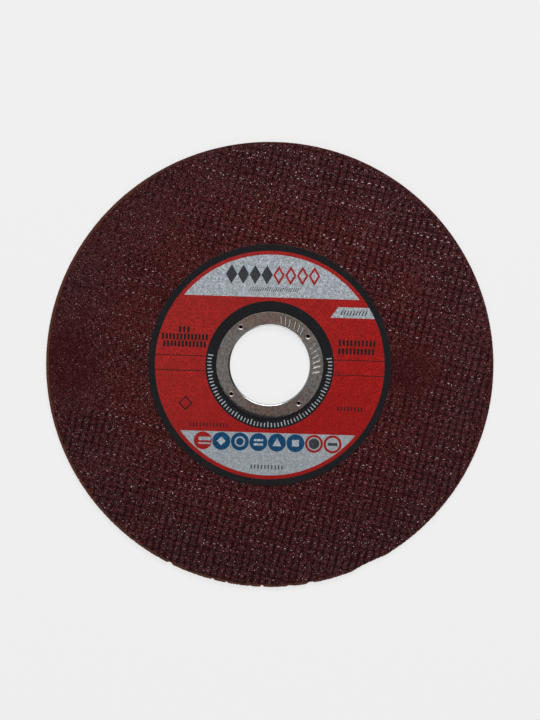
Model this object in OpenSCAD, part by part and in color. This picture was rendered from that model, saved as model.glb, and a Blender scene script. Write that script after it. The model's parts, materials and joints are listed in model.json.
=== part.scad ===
// Flat cut-off wheel: a pressed abrasive disc whose glass weave stands out of both faces,
// a printed label round the centre of the front, and a stamped steel arbor ring in the bore.
// It lies on its back. The origin is on the bore axis at the lowest plane, the front faces +Z,
// and +Y is the top of the label. All sizes are in millimetres and degrees.

/* [Abrasive disc] */
// Outside diameter of the wheel
wheel_d = 125; // [100:1:180]
// Thickness over the weave of both faces
wheel_t = 1.0; // [0.8:0.1:3.2]

/* [Weave] */
// Spacing of the weft threads
weft_pitch = 1.75; // [1.2:0.05:4]
// Width of a weft thread at its foot
thread_w = 0.75; // [0.5:0.05:1]
// Width of a weft thread at its flat crown
crown_w = 0.35; // [0.1:0.05:0.45]
// Height of a weft thread above the face
thread_h = 0.06; // [0.03:0.01:0.12]
// Turn of the weave about the bore axis
weave_turn = -14; // [-45:1:45]
// Bare margin between the thread ends and the rim
rim_margin = 0.6; // [0.2:0.1:3]
// Bare margin between the thread ends and the label or the bore
hub_margin = 0.3; // [0.1:0.1:2]

/* [Rim wear] */
// Depth of the long flake at the foot of the rim, other chips following in proportion
flake_depth = 0.46; // [0.26:0.02:0.6]

/* [Label] */
// Outside diameter of the label
label_d = 67.8; // [58:0.2:90]
// Thickness of the label
label_t = 0.12; // [0.08:0.01:0.3]
// Gap between the collar and the label's centre hole, under the flange
label_hole_gap = 0.5; // [0.3:0.05:0.6]
// Width of the black border
border_w = 1.85; // [0.5:0.05:4]
// Width of the red line between the border and the silver fields
red_line_w = 1.05; // [0.3:0.05:2]
// Width of the black hub band that shows round the flange
hub_band_w = 2.95; // [1:0.05:5]
// Distance from the hub band to the upper silver field
upper_field_gap = 1.05; // [0.2:0.05:3]
// Distance from the hub band to the lower silver field
lower_field_gap = 1.05; // [0.2:0.05:3]
// Turn of the print about the bore axis
print_turn = -1.8; // [-180:0.1:180]

/* [Arbor ring] */
// Bore of the wheel
bore_d = 22.23; // [16:0.01:25.4]
// Thickness of the ring's sheet
sheet_t = 0.3; // [0.2:0.05:0.5]
// Width of the flange, from the bore to its edge
flange_w = 3.9; // [3.5:0.1:5]
// Inside radius of the bend from flange to collar
bend_r = 0.15; // [0.05:0.05:0.3]
// Rounding of the flange's upper edge
edge_r = 0.12; // [0.05:0.01:0.18]
// Clearance of the collar and the prongs in the disc
seat_gap = 0.04; // [0.01:0.01:0.1]

/* [Prongs] */
// Number of pierced prongs that grip the disc
prong_count = 4; // [2:1:8]
// Angle of the first prong
prong_turn = 37; // [0:1:90]
// Distance from the flange's edge to a prong's centre
prong_inset = 1.6; // [1.4:0.05:1.8]
// Diameter of a prong's hole
prong_hole_d = 1.0; // [0.6:0.1:1.2]
// Wall of a prong at its root
prong_root_wall = 0.2; // [0.15:0.05:0.3]
// Wall of a prong at its tip
prong_tip_wall = 0.08; // [0.05:0.01:0.15]
// Depth of a prong below the flange
prong_depth = 0.35; // [0.2:0.05:0.5]
// Flare of a prong's mouth
mouth_flare = 0.25; // [0.1:0.05:0.3]

/* [Hidden] */
$fn = 128;
over = 1;   // how far a cutting tool reaches past what it cuts

abrasive_brown = [0.27, 0.13, 0.11];
label_red = [0.62, 0.08, 0.07];
label_black = [0.07, 0.07, 0.08];
label_silver = [0.66, 0.70, 0.73];
steel_grey = [0.46, 0.44, 0.42];

wheel_r = wheel_d / 2;
back_z = thread_h;                  // flat ground of the back face, between the threads
face_z = wheel_t - thread_h;        // flat ground of the front face
label_r = label_d / 2;
label_top = face_z + label_t;

bore_r = bore_d / 2;
collar_r = bore_r + sheet_t;        // outside of the collar
disc_bore_r = collar_r + seat_gap;
flange_r = bore_r + flange_w;
flange_top = label_top + sheet_t;
lip_r = bend_r + sheet_t;           // rounded mouth of the bore, outside of the bend
label_hole_r = collar_r + label_hole_gap;

hub_band_r = flange_r + hub_band_w;
field_r = label_r - border_w;       // printed field inside the border
silver_r = field_r - red_line_w;

prong_r = prong_hole_d / 2 + prong_root_wall;
prong_circle_r = flange_r - prong_inset;
pocket_r = prong_r + seat_gap;
pocket_z = label_top - prong_depth - seat_gap;

// Chips in the rim, each with its angle, its length along the rim and its share of flake_depth.
rim_chips = [
    [296.2, 10.4, 1.0],
    [280.6, 2.6, 0.9],
    [275.2, 2.0, 0.5],
    [268.0, 1.0, 0.95],
    [265.0, 1.3, 0.3],
    [258.8, 0.9, 0.7],
    [255.1, 0.9, 0.75],
    [243.4, 1.6, 0.9],
];

// Sagitta of an arc of radius r over a chord.
function sagitta(chord, r) = r - sqrt(r * r - chord * chord / 4);

// Radius of the scallop that leaves a chip of this length and depth in the rim.
function scallop_r(length, depth) =
    let (dip = depth - sagitta(length, wheel_r))
    (length * length / 4 + dip * dip) / (2 * dip);

module ring_2d(outer, inner) {
    difference() {
        circle(r = outer);
        circle(r = inner);
    }
}

// Part of a disc of radius r that lies at least y above its centre.
module segment_2d(r, y) {
    intersection() {
        circle(r = r);
        translate([-r, y]) square([2 * r, r]);
    }
}

// Places its children at each prong.
module at_prongs() {
    for (i = [0 : prong_count - 1])
        rotate(prong_turn + i * 360 / prong_count)
            translate([prong_circle_r, 0, 0]) children();
}

// Weft threads between two radii, standing on z = 0.
module threads(outer, inner) {
    rows = floor(outer / weft_pitch);
    intersection() {
        linear_extrude(thread_h) ring_2d(outer, inner);
        rotate(weave_turn)
            for (row = [-rows : rows])
                translate([-wheel_r, row * weft_pitch, 0])
                    rotate([90, 0, 90])
                        linear_extrude(wheel_d) thread_section();
    }
}

module thread_section() {
    polygon([
        [-thread_w / 2, 0],
        [thread_w / 2, 0],
        [crown_w / 2, thread_h],
        [-crown_w / 2, thread_h],
    ]);
}

module rim_chip(angle, length, depth) {
    r = scallop_r(length, depth);
    rotate(angle)
        translate([wheel_r - depth + r, 0, -over])
            cylinder(h = wheel_t + 2 * over, r = r);
}

module abrasive_disc() {
    color(abrasive_brown)
        difference() {
            union() {
                translate([0, 0, back_z]) cylinder(h = face_z - back_z, r = wheel_r);
                translate([0, 0, face_z]) threads(wheel_r - rim_margin, label_r + hub_margin);
                translate([0, 0, back_z]) mirror([0, 0, 1])
                    threads(wheel_r - rim_margin, disc_bore_r + hub_margin);
            }
            translate([0, 0, -over]) cylinder(h = wheel_t + 2 * over, r = disc_bore_r);
            at_prongs() translate([0, 0, pocket_z]) cylinder(h = wheel_t, r = pocket_r);
            for (chip = rim_chips)
                rim_chip(chip[0], chip[1], chip[2] * flake_depth);
        }
}

// The printed fields of the label, each in its own colour, meeting edge to edge.
module upper_field_2d() {
    segment_2d(silver_r, hub_band_r + upper_field_gap);
}

module lower_field_2d() {
    rotate(180) segment_2d(silver_r, hub_band_r + lower_field_gap);
}

module red_field_2d() {
    difference() {
        ring_2d(field_r, hub_band_r);
        upper_field_2d();
        lower_field_2d();
    }
}

module label() {
    difference() {
        translate([0, 0, face_z]) rotate(print_turn) {
            color(label_black) linear_extrude(label_t) ring_2d(label_r, field_r);
            color(label_red) linear_extrude(label_t) red_field_2d();
            color(label_silver) linear_extrude(label_t) upper_field_2d();
            color(label_silver) linear_extrude(label_t) lower_field_2d();
            color(label_black) linear_extrude(label_t) ring_2d(hub_band_r, label_hole_r);
        }
        at_prongs() cylinder(h = label_top + over, r = pocket_r);
    }
}

// Half section of the arbor ring: collar, bend and flange with a rounded edge.
module ring_section() {
    bend = [bore_r + lip_r, flange_top - lip_r];
    translate([bore_r, back_z]) square([sheet_t, bend.y - back_z]);
    intersection() {
        translate(bend) ring_2d(lip_r, bend_r);
        translate([bore_r, bend.y]) square(lip_r);
    }
    translate([bend.x, label_top]) square([flange_r - edge_r - bend.x, sheet_t]);
    translate([flange_r - edge_r, label_top]) square([edge_r, sheet_t - edge_r]);
    intersection() {
        translate([flange_r - edge_r, flange_top - edge_r]) circle(r = edge_r);
        translate([flange_r - edge_r, flange_top - edge_r]) square(edge_r);
    }
}

module arbor_ring() {
    color(steel_grey)
        difference() {
            union() {
                rotate_extrude() ring_section();
                at_prongs() translate([0, 0, label_top - prong_depth])
                    prong_wall();
            }
            at_prongs() {
                cylinder(h = flange_top + over, d = prong_hole_d);
                translate([0, 0, label_top]) prong_mouth();
            }
        }
}

// Burr below the flange, tapered to its tip, that reaches up into the sheet.
module prong_wall() {
    cylinder(h = prong_depth, r1 = prong_hole_d / 2 + prong_tip_wall, r2 = prong_r);
    translate([0, 0, prong_depth]) cylinder(h = sheet_t / 2, r = prong_r);
}

// Flared mouth that the piercing leaves in the sheet.
module prong_mouth() {
    slope = mouth_flare / sheet_t;
    cylinder(h = sheet_t + over, r1 = prong_hole_d / 2,
             r2 = prong_hole_d / 2 + slope * (sheet_t + over));
}

abrasive_disc();
label();
arbor_ring();
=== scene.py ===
"""Looks of a flat cut-off wheel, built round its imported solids.

The abrasive disc, the glass threads woven into its faces, the printed label and the arbor ring are
each made by an operator. All lengths are in metres, in the frame of the solids: the wheel lies on
its back, +Z comes out of the labelled front and +Y is the top of the label.
"""

import json
import math

import bmesh
import bpy
import numpy as np
from bpy.props import FloatProperty, FloatVectorProperty, IntProperty, PointerProperty
from mathutils import Matrix, Vector
from mathutils.geometry import delaunay_2d_cdt


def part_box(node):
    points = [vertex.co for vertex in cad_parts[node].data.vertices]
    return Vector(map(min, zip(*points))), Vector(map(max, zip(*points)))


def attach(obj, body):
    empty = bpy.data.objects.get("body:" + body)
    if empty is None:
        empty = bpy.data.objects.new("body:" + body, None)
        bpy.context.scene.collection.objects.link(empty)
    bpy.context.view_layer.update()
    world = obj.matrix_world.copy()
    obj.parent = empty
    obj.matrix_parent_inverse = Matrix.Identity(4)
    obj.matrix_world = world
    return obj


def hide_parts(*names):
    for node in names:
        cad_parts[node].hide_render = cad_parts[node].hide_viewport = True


bl_info = {
    "name": "Cut-off wheel",
    "version": (1, 0, 0),
    "blender": (4, 5, 0),
    "location": "View3D > Sidebar > Wheel",
    "description": "Dresses the solids of a flat cut-off wheel",
    "category": "Object",
}

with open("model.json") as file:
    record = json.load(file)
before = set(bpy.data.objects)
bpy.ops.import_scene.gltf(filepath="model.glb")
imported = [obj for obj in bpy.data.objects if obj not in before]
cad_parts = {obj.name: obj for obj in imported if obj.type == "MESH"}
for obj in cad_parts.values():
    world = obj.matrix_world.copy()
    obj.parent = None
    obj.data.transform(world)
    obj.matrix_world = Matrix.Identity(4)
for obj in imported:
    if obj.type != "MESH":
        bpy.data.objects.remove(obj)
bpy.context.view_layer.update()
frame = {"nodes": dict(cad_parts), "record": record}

MM = 0.001
TAU = 2 * math.pi


def mesh_points(piece):
    """Corner points of an object's mesh, a row each."""
    points = np.zeros(len(piece.data.vertices) * 3)
    piece.data.vertices.foreach_get("co", points)
    return points.reshape(-1, 3)


def radii(points):
    """Distance of each point from the bore axis."""
    return np.hypot(points[:, 0], points[:, 1])


def angle_of(x, y):
    """Angle of each point round the bore axis."""
    return np.arctan2(y, x)


# Sizes that the solids give
disc_points = mesh_points(frame["nodes"]["abrasive_disc"])
disc_low, disc_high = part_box("abrasive_disc")
label_low, label_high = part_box("label")
ring_low, ring_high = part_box("arbor_ring")
WHEEL_R = radii(disc_points).max()
DISC_BORE_R = radii(disc_points).min()
FACE_Z = label_low.z
THREAD_RISE = disc_high.z - FACE_Z
BACK_Z = disc_low.z + THREAD_RISE
LABEL_R = label_high.x
LABEL_HOLE_R = radii(mesh_points(frame["nodes"]["label"])).min()
LABEL_TOP = label_high.z
FLANGE_R = ring_high.x
FLANGE_TOP = ring_high.z
SHEET = FLANGE_TOP - LABEL_TOP
bore_mount = next(mount for mount in frame["record"]["mounts"] if mount["name"] == "bore")
BORE_R = bore_mount["dims"]["r_mm"] * MM

# Sizes of small parts
PRONG_DEPTH = 0.35 * MM
ROOT_WALL = 0.2 * MM                     # wall of a prong at its root
TIP_WALL = 0.08 * MM                     # wall of a prong at its tip
POCKET_R = 0.74 * MM                     # pocket that a prong bites into the disc
POCKET_Z = LABEL_TOP - PRONG_DEPTH - 0.04 * MM
MOUTH = (1.0, 1.15, 1.3, 1.5, 1.75)      # loops round a prong's mouth, in hole radii
MOUTH_DEPTH = 0.19 * MM
BREAK = 0.04 * MM                        # bevel on the lower end of the ring's collar
EDGE_DROP = 0.12 * MM                    # how far the rim's corners are worn in from it
RIM_ROUGH = 0.035 * MM                   # roughness all round the rim
NICK_DEPTH = 0.16 * MM                   # depth of the nicks where the rim is worn most
WORN_TURN = math.radians(272)            # middle of the worn side of the rim

# Strokes stamped into the flange: their angles in degrees, their lean from the radius and their sizes
STROKES = (76, 70.5, 65, 58, 52, 47, 24, 17.5, 11, 4.5, -2, -8.5)
STROKE_LEAN = 0.3
STROKE_CIRCLE = 13.1 * MM
STROKE_HALF_LENGTH = 0.95 * MM
STROKE_HALF_WIDTH = 0.14 * MM

# How finely round forms are divided
BORE_SIDES = 180
RIM_SIDES = 1800
RING_SIDES = 360
PRONG_SIDES = 32
FLANGE_STEP = 0.13 * MM

# Stage
SENSOR = 36.0                            # width of the camera's sensor, in millimetres
AIM = (0.07 * MM, 1.43 * MM, FACE_Z)
LAMPS = (("key", (0.15, 1.0, 0.8), 19.5), ("fill", (-0.25, -1.0, 0.7), 7))
LAMP_SIZE = (1.2, 0.6)
WORLD_LIGHT = 0.16
FLOOR_HALF = 20.0
FLOOR_GLOW = 0.86                        # share of the floor's own colour in what the camera sees


def size(name, default, description):
    """A length property."""
    return FloatProperty(name=name, description=description, default=default,
                         subtype="DISTANCE", unit="LENGTH", precision=5)


def turn(name, degrees, description):
    """An angle property, given in degrees."""
    return FloatProperty(name=name, description=description, default=math.radians(degrees),
                         subtype="ANGLE", unit="ROTATION")


def tint(name, srgb, description):
    """A colour property from 0 to 255 values as they show on a screen."""
    linear = [c / 255 / 12.92 if c <= 10 else ((c / 255 + 0.055) / 1.055) ** 2.4 for c in srgb]
    return FloatVectorProperty(name=name, description=description, default=linear,
                               min=0, max=1, size=3, subtype="COLOR")


class DiscSettings(bpy.types.PropertyGroup):
    """Abrasive disc and its weave."""

    weft_pitch: size("Weft pitch", 1.75 * MM, "Spacing of the weft threads")
    warp_pitch: size("Warp pitch", 1.95 * MM, "Spacing of the warp threads")
    weave_turn: turn("Weave turn", -14, "Turn of the weave about the bore axis")
    thread_width: size("Thread width", 0.62 * MM, "Width of a thread")
    rim_band: size("Rim band", 0.6 * MM, "Bare band between the weave and the rim")
    pale_band: size("Worn band", 0.85 * MM, "Band along the rim where bare grain shows")
    grain: size("Grain", 0.018 * MM, "Height of the grain on the faces")
    bulge: size("Bulge", 0.03 * MM, "Height of the bond between the threads")
    brown: tint("Bond", (74, 21, 22), "Colour of the resin bond near the label")
    outer_brown: tint("Outer bond", (61, 29, 31), "Colour of the resin bond near the rim")
    red_brown: tint("Rich bond", (62, 17, 19), "Colour of the bond where it is rich in resin")
    rim_brown: tint("Rim", (80, 48, 38), "Colour of the bare grain at the rim")
    rim_turn: turn("Rim turn", 200, "Middle of the side where bare grain shows along the rim")
    thread_dark: tint("Thread", (46, 12, 14), "Colour of a resin-soaked thread")
    # Pale colour of bare fibre and grains, also the colour of painted glints.
    glass: tint("Glass", (245, 208, 210), "Colour of bare glass on a thread's crown")


class LabelSettings(bpy.types.PropertyGroup):
    """Printed label."""

    border: size("Border", 1.85 * MM, "Width of the black border")
    red_line: size("Red line", 1.05 * MM, "Red line between the border and the silver fields")
    hub_band: size("Hub band", 2.95 * MM, "Width of the black band round the flange")
    print_lift: size("Print lift", 0.25 * MM, "How far the print stands above the middle")
    upper_field: size("Upper field", 18.78 * MM, "Height of the upper silver field's edge")
    lower_field: size("Lower field", 19.27 * MM, "Depth of the lower silver field's edge")
    print_turn: turn("Print turn", -1.76, "Turn of the print about the bore axis")
    red: tint("Red", (148, 21, 19), "Red ink")
    black: tint("Black", (25, 25, 28), "Black ink")
    silver: tint("Silver", (166, 173, 179), "Bare metallised paper")
    blue: tint("Blue", (17, 64, 98), "Blue ink")
    white: tint("White", (156, 162, 168), "White ink")
    grey: tint("Grey", (54, 56, 60), "Dark grey ink")


class RingSettings(bpy.types.PropertyGroup):
    """Arbor ring."""

    lip: size("Lip", 0.45 * MM, "Radius of the rounded mouth of the bore")
    edge: size("Edge", 0.12 * MM, "Rounding of the flange's edge")
    prong_inset: size("Prong inset", 1.6 * MM, "Distance from the flange's edge to a prong")
    prong_hole: size("Prong hole", 0.5 * MM, "Radius of a prong's hole")
    prong_turn: turn("Prong turn", 37, "Angle of the first prong")
    prongs: IntProperty(name="Prongs", description="Number of prongs", default=4, min=2, max=8)
    stamp_depth: size("Stamp depth", 0.1 * MM, "Depth of the stamped strokes")
    steel: tint("Steel", (168, 163, 158), "Colour of the tin-plated steel")
    # Pale colour of the strokes and prong mouths: partly steel laid bare by stamping, partly painted
    # highlight.
    cut: tint("Cut", (205, 205, 202), "Colour of the steel laid bare by the stamped strokes")
    # Painted shade on one side of the flange.
    shaded_side_turn: turn("Dull turn", 285, "Middle of the duller side of the flange")
    # Pale colour of the polished mouth, a painted reflection.
    polished_reflection: tint("Polished", (186, 188, 190), "Colour of the polished mouth of the bore")
    # Painted dark reflection on part of the mouth: its middle and colour.
    dark_reflection_turn: turn("Blued turn", 187, "Middle of the blued part of the mouth")
    dark_reflection: tint("Blued", (66, 73, 90), "Colour of the blued part of the mouth")
    # Painted shade along the flange's lower edge on one side: its middle, width and colour.
    edge_shade_turn: turn("Smear turn", 245, "Middle of the dirty side of the flange")
    edge_shade_width: size("Smear width", 1.5 * MM, "Width of the dirt at its widest")
    edge_shade: tint("Smear", (30, 30, 32), "Colour of the dirt along the flange's lower edge")


class StageSettings(bpy.types.PropertyGroup):
    """Floor, light and camera."""

    floor: tint("Floor", (239, 239, 239), "Colour of the floor and backdrop")
    lean: turn("Lean", 5.8, "Lean of the view from straight above")
    lean_towards: turn("Lean towards", 86, "Direction that the view leans to")
    view_height: size("View height", 0.2010, "Height of the picture at the wheel")
    lens: FloatProperty(name="Lens", description="Focal length", default=450,
                        subtype="DISTANCE_CAMERA", unit="CAMERA")


# Meshes

def new_object(name, data):
    """An object with this data, in the scene."""
    made = bpy.data.objects.new(name, data)
    bpy.context.scene.collection.objects.link(made)
    return made


def new_piece(name, points, groups, materials, slot, node=None, smooth=True):
    """A piece on the root body. groups holds (faces, material number) with equal-sided faces."""
    mesh = bpy.data.meshes.new(name)
    groups = [(np.asarray(faces), number) for faces, number in groups if len(faces)]
    loops = np.concatenate([faces.reshape(-1) for faces, _ in groups])
    sides = np.concatenate([np.full(len(faces), faces.shape[1]) for faces, _ in groups])
    numbers = np.concatenate([np.resize(number, len(faces)) for faces, number in groups])
    mesh.vertices.add(len(points))
    mesh.vertices.foreach_set("co", np.asarray(points, np.float32).reshape(-1))
    mesh.loops.add(len(loops))
    mesh.loops.foreach_set("vertex_index", loops.astype(np.int32))
    mesh.polygons.add(len(sides))
    mesh.polygons.foreach_set("loop_start", (np.cumsum(sides) - sides).astype(np.int32))
    for material in materials:
        mesh.materials.append(material)
    mesh.polygons.foreach_set("material_index", numbers.astype(np.int32))
    mesh.polygons.foreach_set("use_smooth", np.full(len(sides), smooth))
    mesh.update(calc_edges=True)
    if mesh.validate():
        raise RuntimeError(f"{name} has faces that don't hold")
    piece = new_object(name, mesh)
    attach(piece, "root")
    if node:
        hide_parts(node)
    return piece


def paint(piece, **layers):
    """Stores layers of numbers for the piece's material, one number for each corner point."""
    for name, values in layers.items():
        layer = piece.data.attributes.new(name, "FLOAT", "POINT")
        layer.data.foreach_set("value", np.asarray(values, np.float32))


def polar(radius, angle):
    """Flat points at these radii and angles."""
    return np.c_[radius * np.cos(angle), radius * np.sin(angle)]


def circle(radius, count, centre=(0, 0)):
    """Flat points set evenly round a circle."""
    return polar(radius, np.arange(count) * TAU / count) + centre


def level_loop(loop, z):
    """Flat points raised to a height."""
    return np.c_[loop, np.full(len(loop), z)]


def triangulate(points, loops):
    """Triangles over flat points and closed loops. Returns the points and the triangles."""
    flat = [points] + list(loops)
    start = np.cumsum([0] + [len(p) for p in flat])
    edges = []
    for first, loop in zip(start[1:], loops):
        edges += [(first + i, first + (i + 1) % len(loop)) for i in range(len(loop))]
    corners = [Vector(p) for p in np.concatenate(flat) / MM]
    found = delaunay_2d_cdt(corners, [tuple(map(int, e)) for e in edges], [], 0, 1e-6, False)
    return np.array([tuple(v) for v in found[0]]) * MM, np.array(found[2])


def sheet(spread, loops, outer, inner, places=(), hole=0.0):
    """Triangles inside the loop outer, outside the radius inner and off the holes at places."""
    points, faces = triangulate(spread, loops)
    middle = points[faces].mean(1)
    limit = np.interp(angle_of(*middle.T), angle_of(*outer.T), radii(outer), period=TAU)
    kept = (radii(middle) > inner) & (radii(middle) < limit)
    for at in places:
        kept &= radii(middle - at) > hole
    used, faces = np.unique(faces[kept], return_inverse=True)
    return points[used], faces.reshape(-1, 3)


def wall(loops, number=0):
    """A part of closed loops, each joined to the next by quads: points, material number, faces."""
    order = np.arange(len(loops) * len(loops[0])).reshape(len(loops), -1)
    after = np.roll(order, -1, axis=1)
    quads = np.stack([order[:-1], after[:-1], after[1:], order[1:]], axis=2)
    return np.concatenate(loops), number, quads.reshape(-1, 4)


def joined(parts):
    """Points and face groups of parts, each given as points, material number and kinds of faces."""
    groups, first = [], 0
    for points, number, *kinds in parts:
        groups += [(faces + first, number) for faces in kinds]
        first += len(points)
    return np.concatenate([part[0] for part in parts]), groups


def outline_loops(faces):
    """Directed edges that only one triangle has."""
    edges = np.concatenate([faces[:, [0, 1]], faces[:, [1, 2]], faces[:, [2, 0]]])
    keys = {tuple(e) for e in edges.tolist()}
    return np.array([e for e in edges.tolist() if (e[1], e[0]) not in keys])


def smooth_step(low, high, x):
    """0 at low, 1 at high, with an even ease between them."""
    t = np.clip((x - low) / (high - low), 0, 1)
    return t * t * (3 - 2 * t)


def weld(piece):
    """Joins points that lie in the same place, and turns the faces outwards."""
    bm = bmesh.new()
    bm.from_mesh(piece.data)
    bmesh.ops.remove_doubles(bm, verts=bm.verts, dist=0.002 * MM)
    bmesh.ops.recalc_face_normals(bm, faces=bm.faces)
    bm.to_mesh(piece.data)
    bm.free()


# Abrasive disc and weave

def drift(x, y, length, seed):
    """A slow, smooth random field from -1 to 1 over about this length."""
    rng = np.random.default_rng(seed)
    total = np.zeros_like(x)
    waves = 6
    for way, phase in zip(rng.uniform(0, TAU, waves), rng.uniform(0, TAU, waves)):
        total += np.sin((x * math.cos(way) + y * math.sin(way)) * TAU / length + phase)
    return total / waves ** 0.5


# The pressing is uneven: values at every 30 degrees, first near the label and then near the rim. The
# second table sets how bright the painted glints are.
WEAVE_SHOWS = ((0.75, 0.75, 0.75, 0.72, 0.55, 0.42, 0.45, 0.62, 0.85, 0.9, 0.88, 0.8),
               (0.8, 0.85, 0.85, 0.8, 0.52, 0.42, 0.45, 0.85, 1.0, 1.0, 0.95, 0.9))
GLASS_AND_GLINT_SHOWS = ((0.8, 1.05, 1.15, 1.0, 0.95, 0.95, 0.95, 0.9, 0.95, 0.9, 1.0, 0.92),
               (0.88, 1.3, 1.3, 1.2, 0.85, 0.85, 0.8, 0.9, 0.98, 0.92, 0.95, 0.92))
GRAIN_SHOWS = ((0.95, 1.025, 1.1, 1.05, 1.0, 0.95, 1.05, 1.025, 1.0, 1.0, 1.0, 0.975),
               (0.95, 1.025, 1.1, 1.025, 0.95, 0.85, 0.95, 0.975, 1.0, 1.0, 1.0, 0.975))
TONE = ((0.95, 1.05, 1.15, 1.12, 0.92, 0.82, 0.85, 0.86, 0.88, 0.88, 0.95, 1.05),
        (1.25, 1.15, 1.05, 1.02, 0.9, 0.82, 0.86, 0.92, 0.88, 0.83, 0.93, 1.05))
# Smooth patches of the face, rich in resin: middle, half width and half height in millimetres
SMOOTH_PATCHES = ((-56, 1, 9, 11), (37, -1.5, 9.5, 7.5))
WEAVE_PATCH = 21 * MM               # length over which the weave rises and sinks in the bond
FACE_SEEDS = {"front": 7, "back": 8}
# Painted glints on a thread's crowns show or hide over runs of this many crossings.
GLINT_RUN = 5                       # crossings over which the glass of a thread shows or hides
# Every second weft thread is pressed deep and stays dark, and the bare fibre with its painted glints
# shows on the others
DEEP_WEFT = {"sink": 0.35, "shine": 0.1, "bare": 0.4}
HIGH_WEFT = {"sink": -0.12, "shine": 0.98, "bare": 1}
WARP_SINK = 0.12
WANDER = ((0.09 * MM, 17 * MM), (0.05 * MM, 5.3 * MM))  # sway of a thread, and the length of its wave


def outward(x, y):
    """0 near the label, 1 near the rim."""
    return smooth_step(37 * MM, 59 * MM, np.hypot(x, y))


def round_wheel(x, y, stations):
    """A value set at even angles near the label and near the rim, blended between them."""
    angles = np.arange(len(stations[0])) * TAU / len(stations[0])
    near, far = (np.interp(angle_of(x, y), angles, row, period=TAU) for row in stations)
    return near + (far - near) * outward(x, y)


def smooth_patch(x, y):
    """1 on the smooth patches of the face, 0 elsewhere."""
    inside = np.zeros(len(x))
    for across, up, wide, high in SMOOTH_PATCHES:
        away = np.hypot((x / MM - across) / wide, (y / MM - up) / high)
        inside = np.maximum(inside, smooth_step(1.45, 0.45, away))
    return inside


def exposure(x, y, seed):
    """How far the weave shows through the bond, from 0 to 1."""
    shows = round_wheel(x, y, WEAVE_SHOWS) + 0.13 * drift(x, y, WEAVE_PATCH, seed)
    return np.clip(shows, 0, 1) * (1 - 0.75 * smooth_patch(x, y))


def glitter(x, y):
    """How bright the painted glints on the bare fibre are."""
    return round_wheel(x, y, GLASS_AND_GLINT_SHOWS) * (1 - 0.5 * smooth_patch(x, y))


def coarseness(x, y):
    """How strongly the grain of the bond shows."""
    return round_wheel(x, y, GRAIN_SHOWS) * (1 - 0.4 * smooth_patch(x, y))


class Weave:
    """Where the threads of one face run: u is measured along the weft, v along the warp."""

    def __init__(self, settings, seed):
        self.weft_pitch = settings.weft_pitch
        self.warp_pitch = settings.warp_pitch
        self.c, self.s = math.cos(settings.weave_turn), math.sin(settings.weave_turn)
        self.seed = seed

    def place(self, u, v):
        """x and y of a place in the weave."""
        return u * self.c - v * self.s, u * self.s + v * self.c

    def find(self, x, y):
        """u and v of a point of the face."""
        return x * self.c + y * self.s, -x * self.s + y * self.c

    def near_warp(self, u):
        """1 on a warp thread, 0 midway between two."""
        return 0.5 + 0.5 * np.cos(u * TAU / self.warp_pitch)

    def near_weft(self, v):
        """1 on a weft thread, 0 midway between two."""
        return 0.5 + 0.5 * np.cos(v * TAU / self.weft_pitch)


def rim_profile():
    """Radius of the solid's rim by angle, with its chips, as sorted angles and radii."""
    rim = disc_points[radii(disc_points) > WHEEL_R - 0.55 * MM]
    rim = rim[np.abs(rim[:, 2] - FACE_Z) < 0.01 * MM]
    angles = angle_of(*rim[:, :2].T) % TAU
    order = np.argsort(angles)
    return angles[order], radii(rim)[order]


def rim_radius(angles, rng):
    """The rim with its chips, and finer nicks where it is worn."""
    known, radius = rim_profile()
    smooth = np.interp(angles, known, radius, period=TAU)
    worn = 0.25 + 0.75 * smooth_step(0.2, 0.8, np.cos(angles - WORN_TURN))
    nick = rng.uniform(0, 1, len(angles)) ** 6
    return smooth - RIM_ROUGH * rng.uniform(0, 1, len(angles)) - NICK_DEPTH * nick * worn


def face_points(weave, steps, inner, outer, rng):
    """Points spread over a face between two radii, a few to each cell of the weave."""
    du, dv = weave.warp_pitch / steps[0], weave.weft_pitch / steps[1]
    nu, nv = int(outer / du) + 2, int(outer / dv) + 2
    i, j = np.meshgrid(np.arange(-nu, nu + 1), np.arange(-nv, nv + 1))
    u = (i + rng.uniform(-0.3, 0.3, i.shape)) * du
    v = (j + rng.uniform(-0.3, 0.3, j.shape)) * dv
    x, y = weave.place(u.ravel(), v.ravel())
    r = np.hypot(x, y)
    keep = (r > inner) & (r < outer)
    return np.c_[x[keep], y[keep]]


def ground_rise(settings, weave, x, y, rng):
    """Height of the bond above the face: bulges between the threads, and grain."""
    u, v = weave.find(x, y)
    cell = (1 - weave.near_warp(u)) * (1 - weave.near_weft(v))
    shows = exposure(x, y, weave.seed)
    grain = rng.normal(0, 1, len(x)).clip(-2, 2) * settings.grain
    high = (rng.uniform(0, 1, len(x)) < 0.04) * settings.grain
    return settings.bulge * (cell - 0.35) * shows + grain + high


def bond_cell(weave, x, y):
    """How open the weave is at each point, and how far it shows."""
    u, v = weave.find(x, y)
    open_part = (1 - weave.near_warp(u)) * (1 - weave.near_weft(v)) ** 0.1
    return open_part, smooth_step(0.2, 0.75, exposure(x, y, weave.seed))


def disc_face(settings, weave, steps, inner, edge, z, up, rng, pockets=()):
    """Points and triangles of one face, grained outside the radius inner and open at the pockets."""
    spread = face_points(weave, steps, inner, WHEEL_R - 0.65 * MM, rng)
    if inner > DISC_BORE_R + 2 * MM:
        spread = np.concatenate([spread, circle(inner, BORE_SIDES)])
    loops = [edge, circle(DISC_BORE_R, BORE_SIDES)]
    loops += [circle(POCKET_R, PRONG_SIDES, at) for at in pockets]
    points, faces = sheet(spread, loops, edge, DISC_BORE_R * 0.999, pockets, POCKET_R)
    r = radii(points)
    rise = ground_rise(settings, weave, *points.T, rng)
    rise = np.where((r > inner) & (r > DISC_BORE_R * 1.01), rise, 0)
    rise = np.clip(rise, -0.06 * MM, THREAD_RISE * 0.9)
    corners = np.c_[points, z + (rise if up else -rise)]
    return corners, 0, faces if up else faces[:, ::-1]


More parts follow.
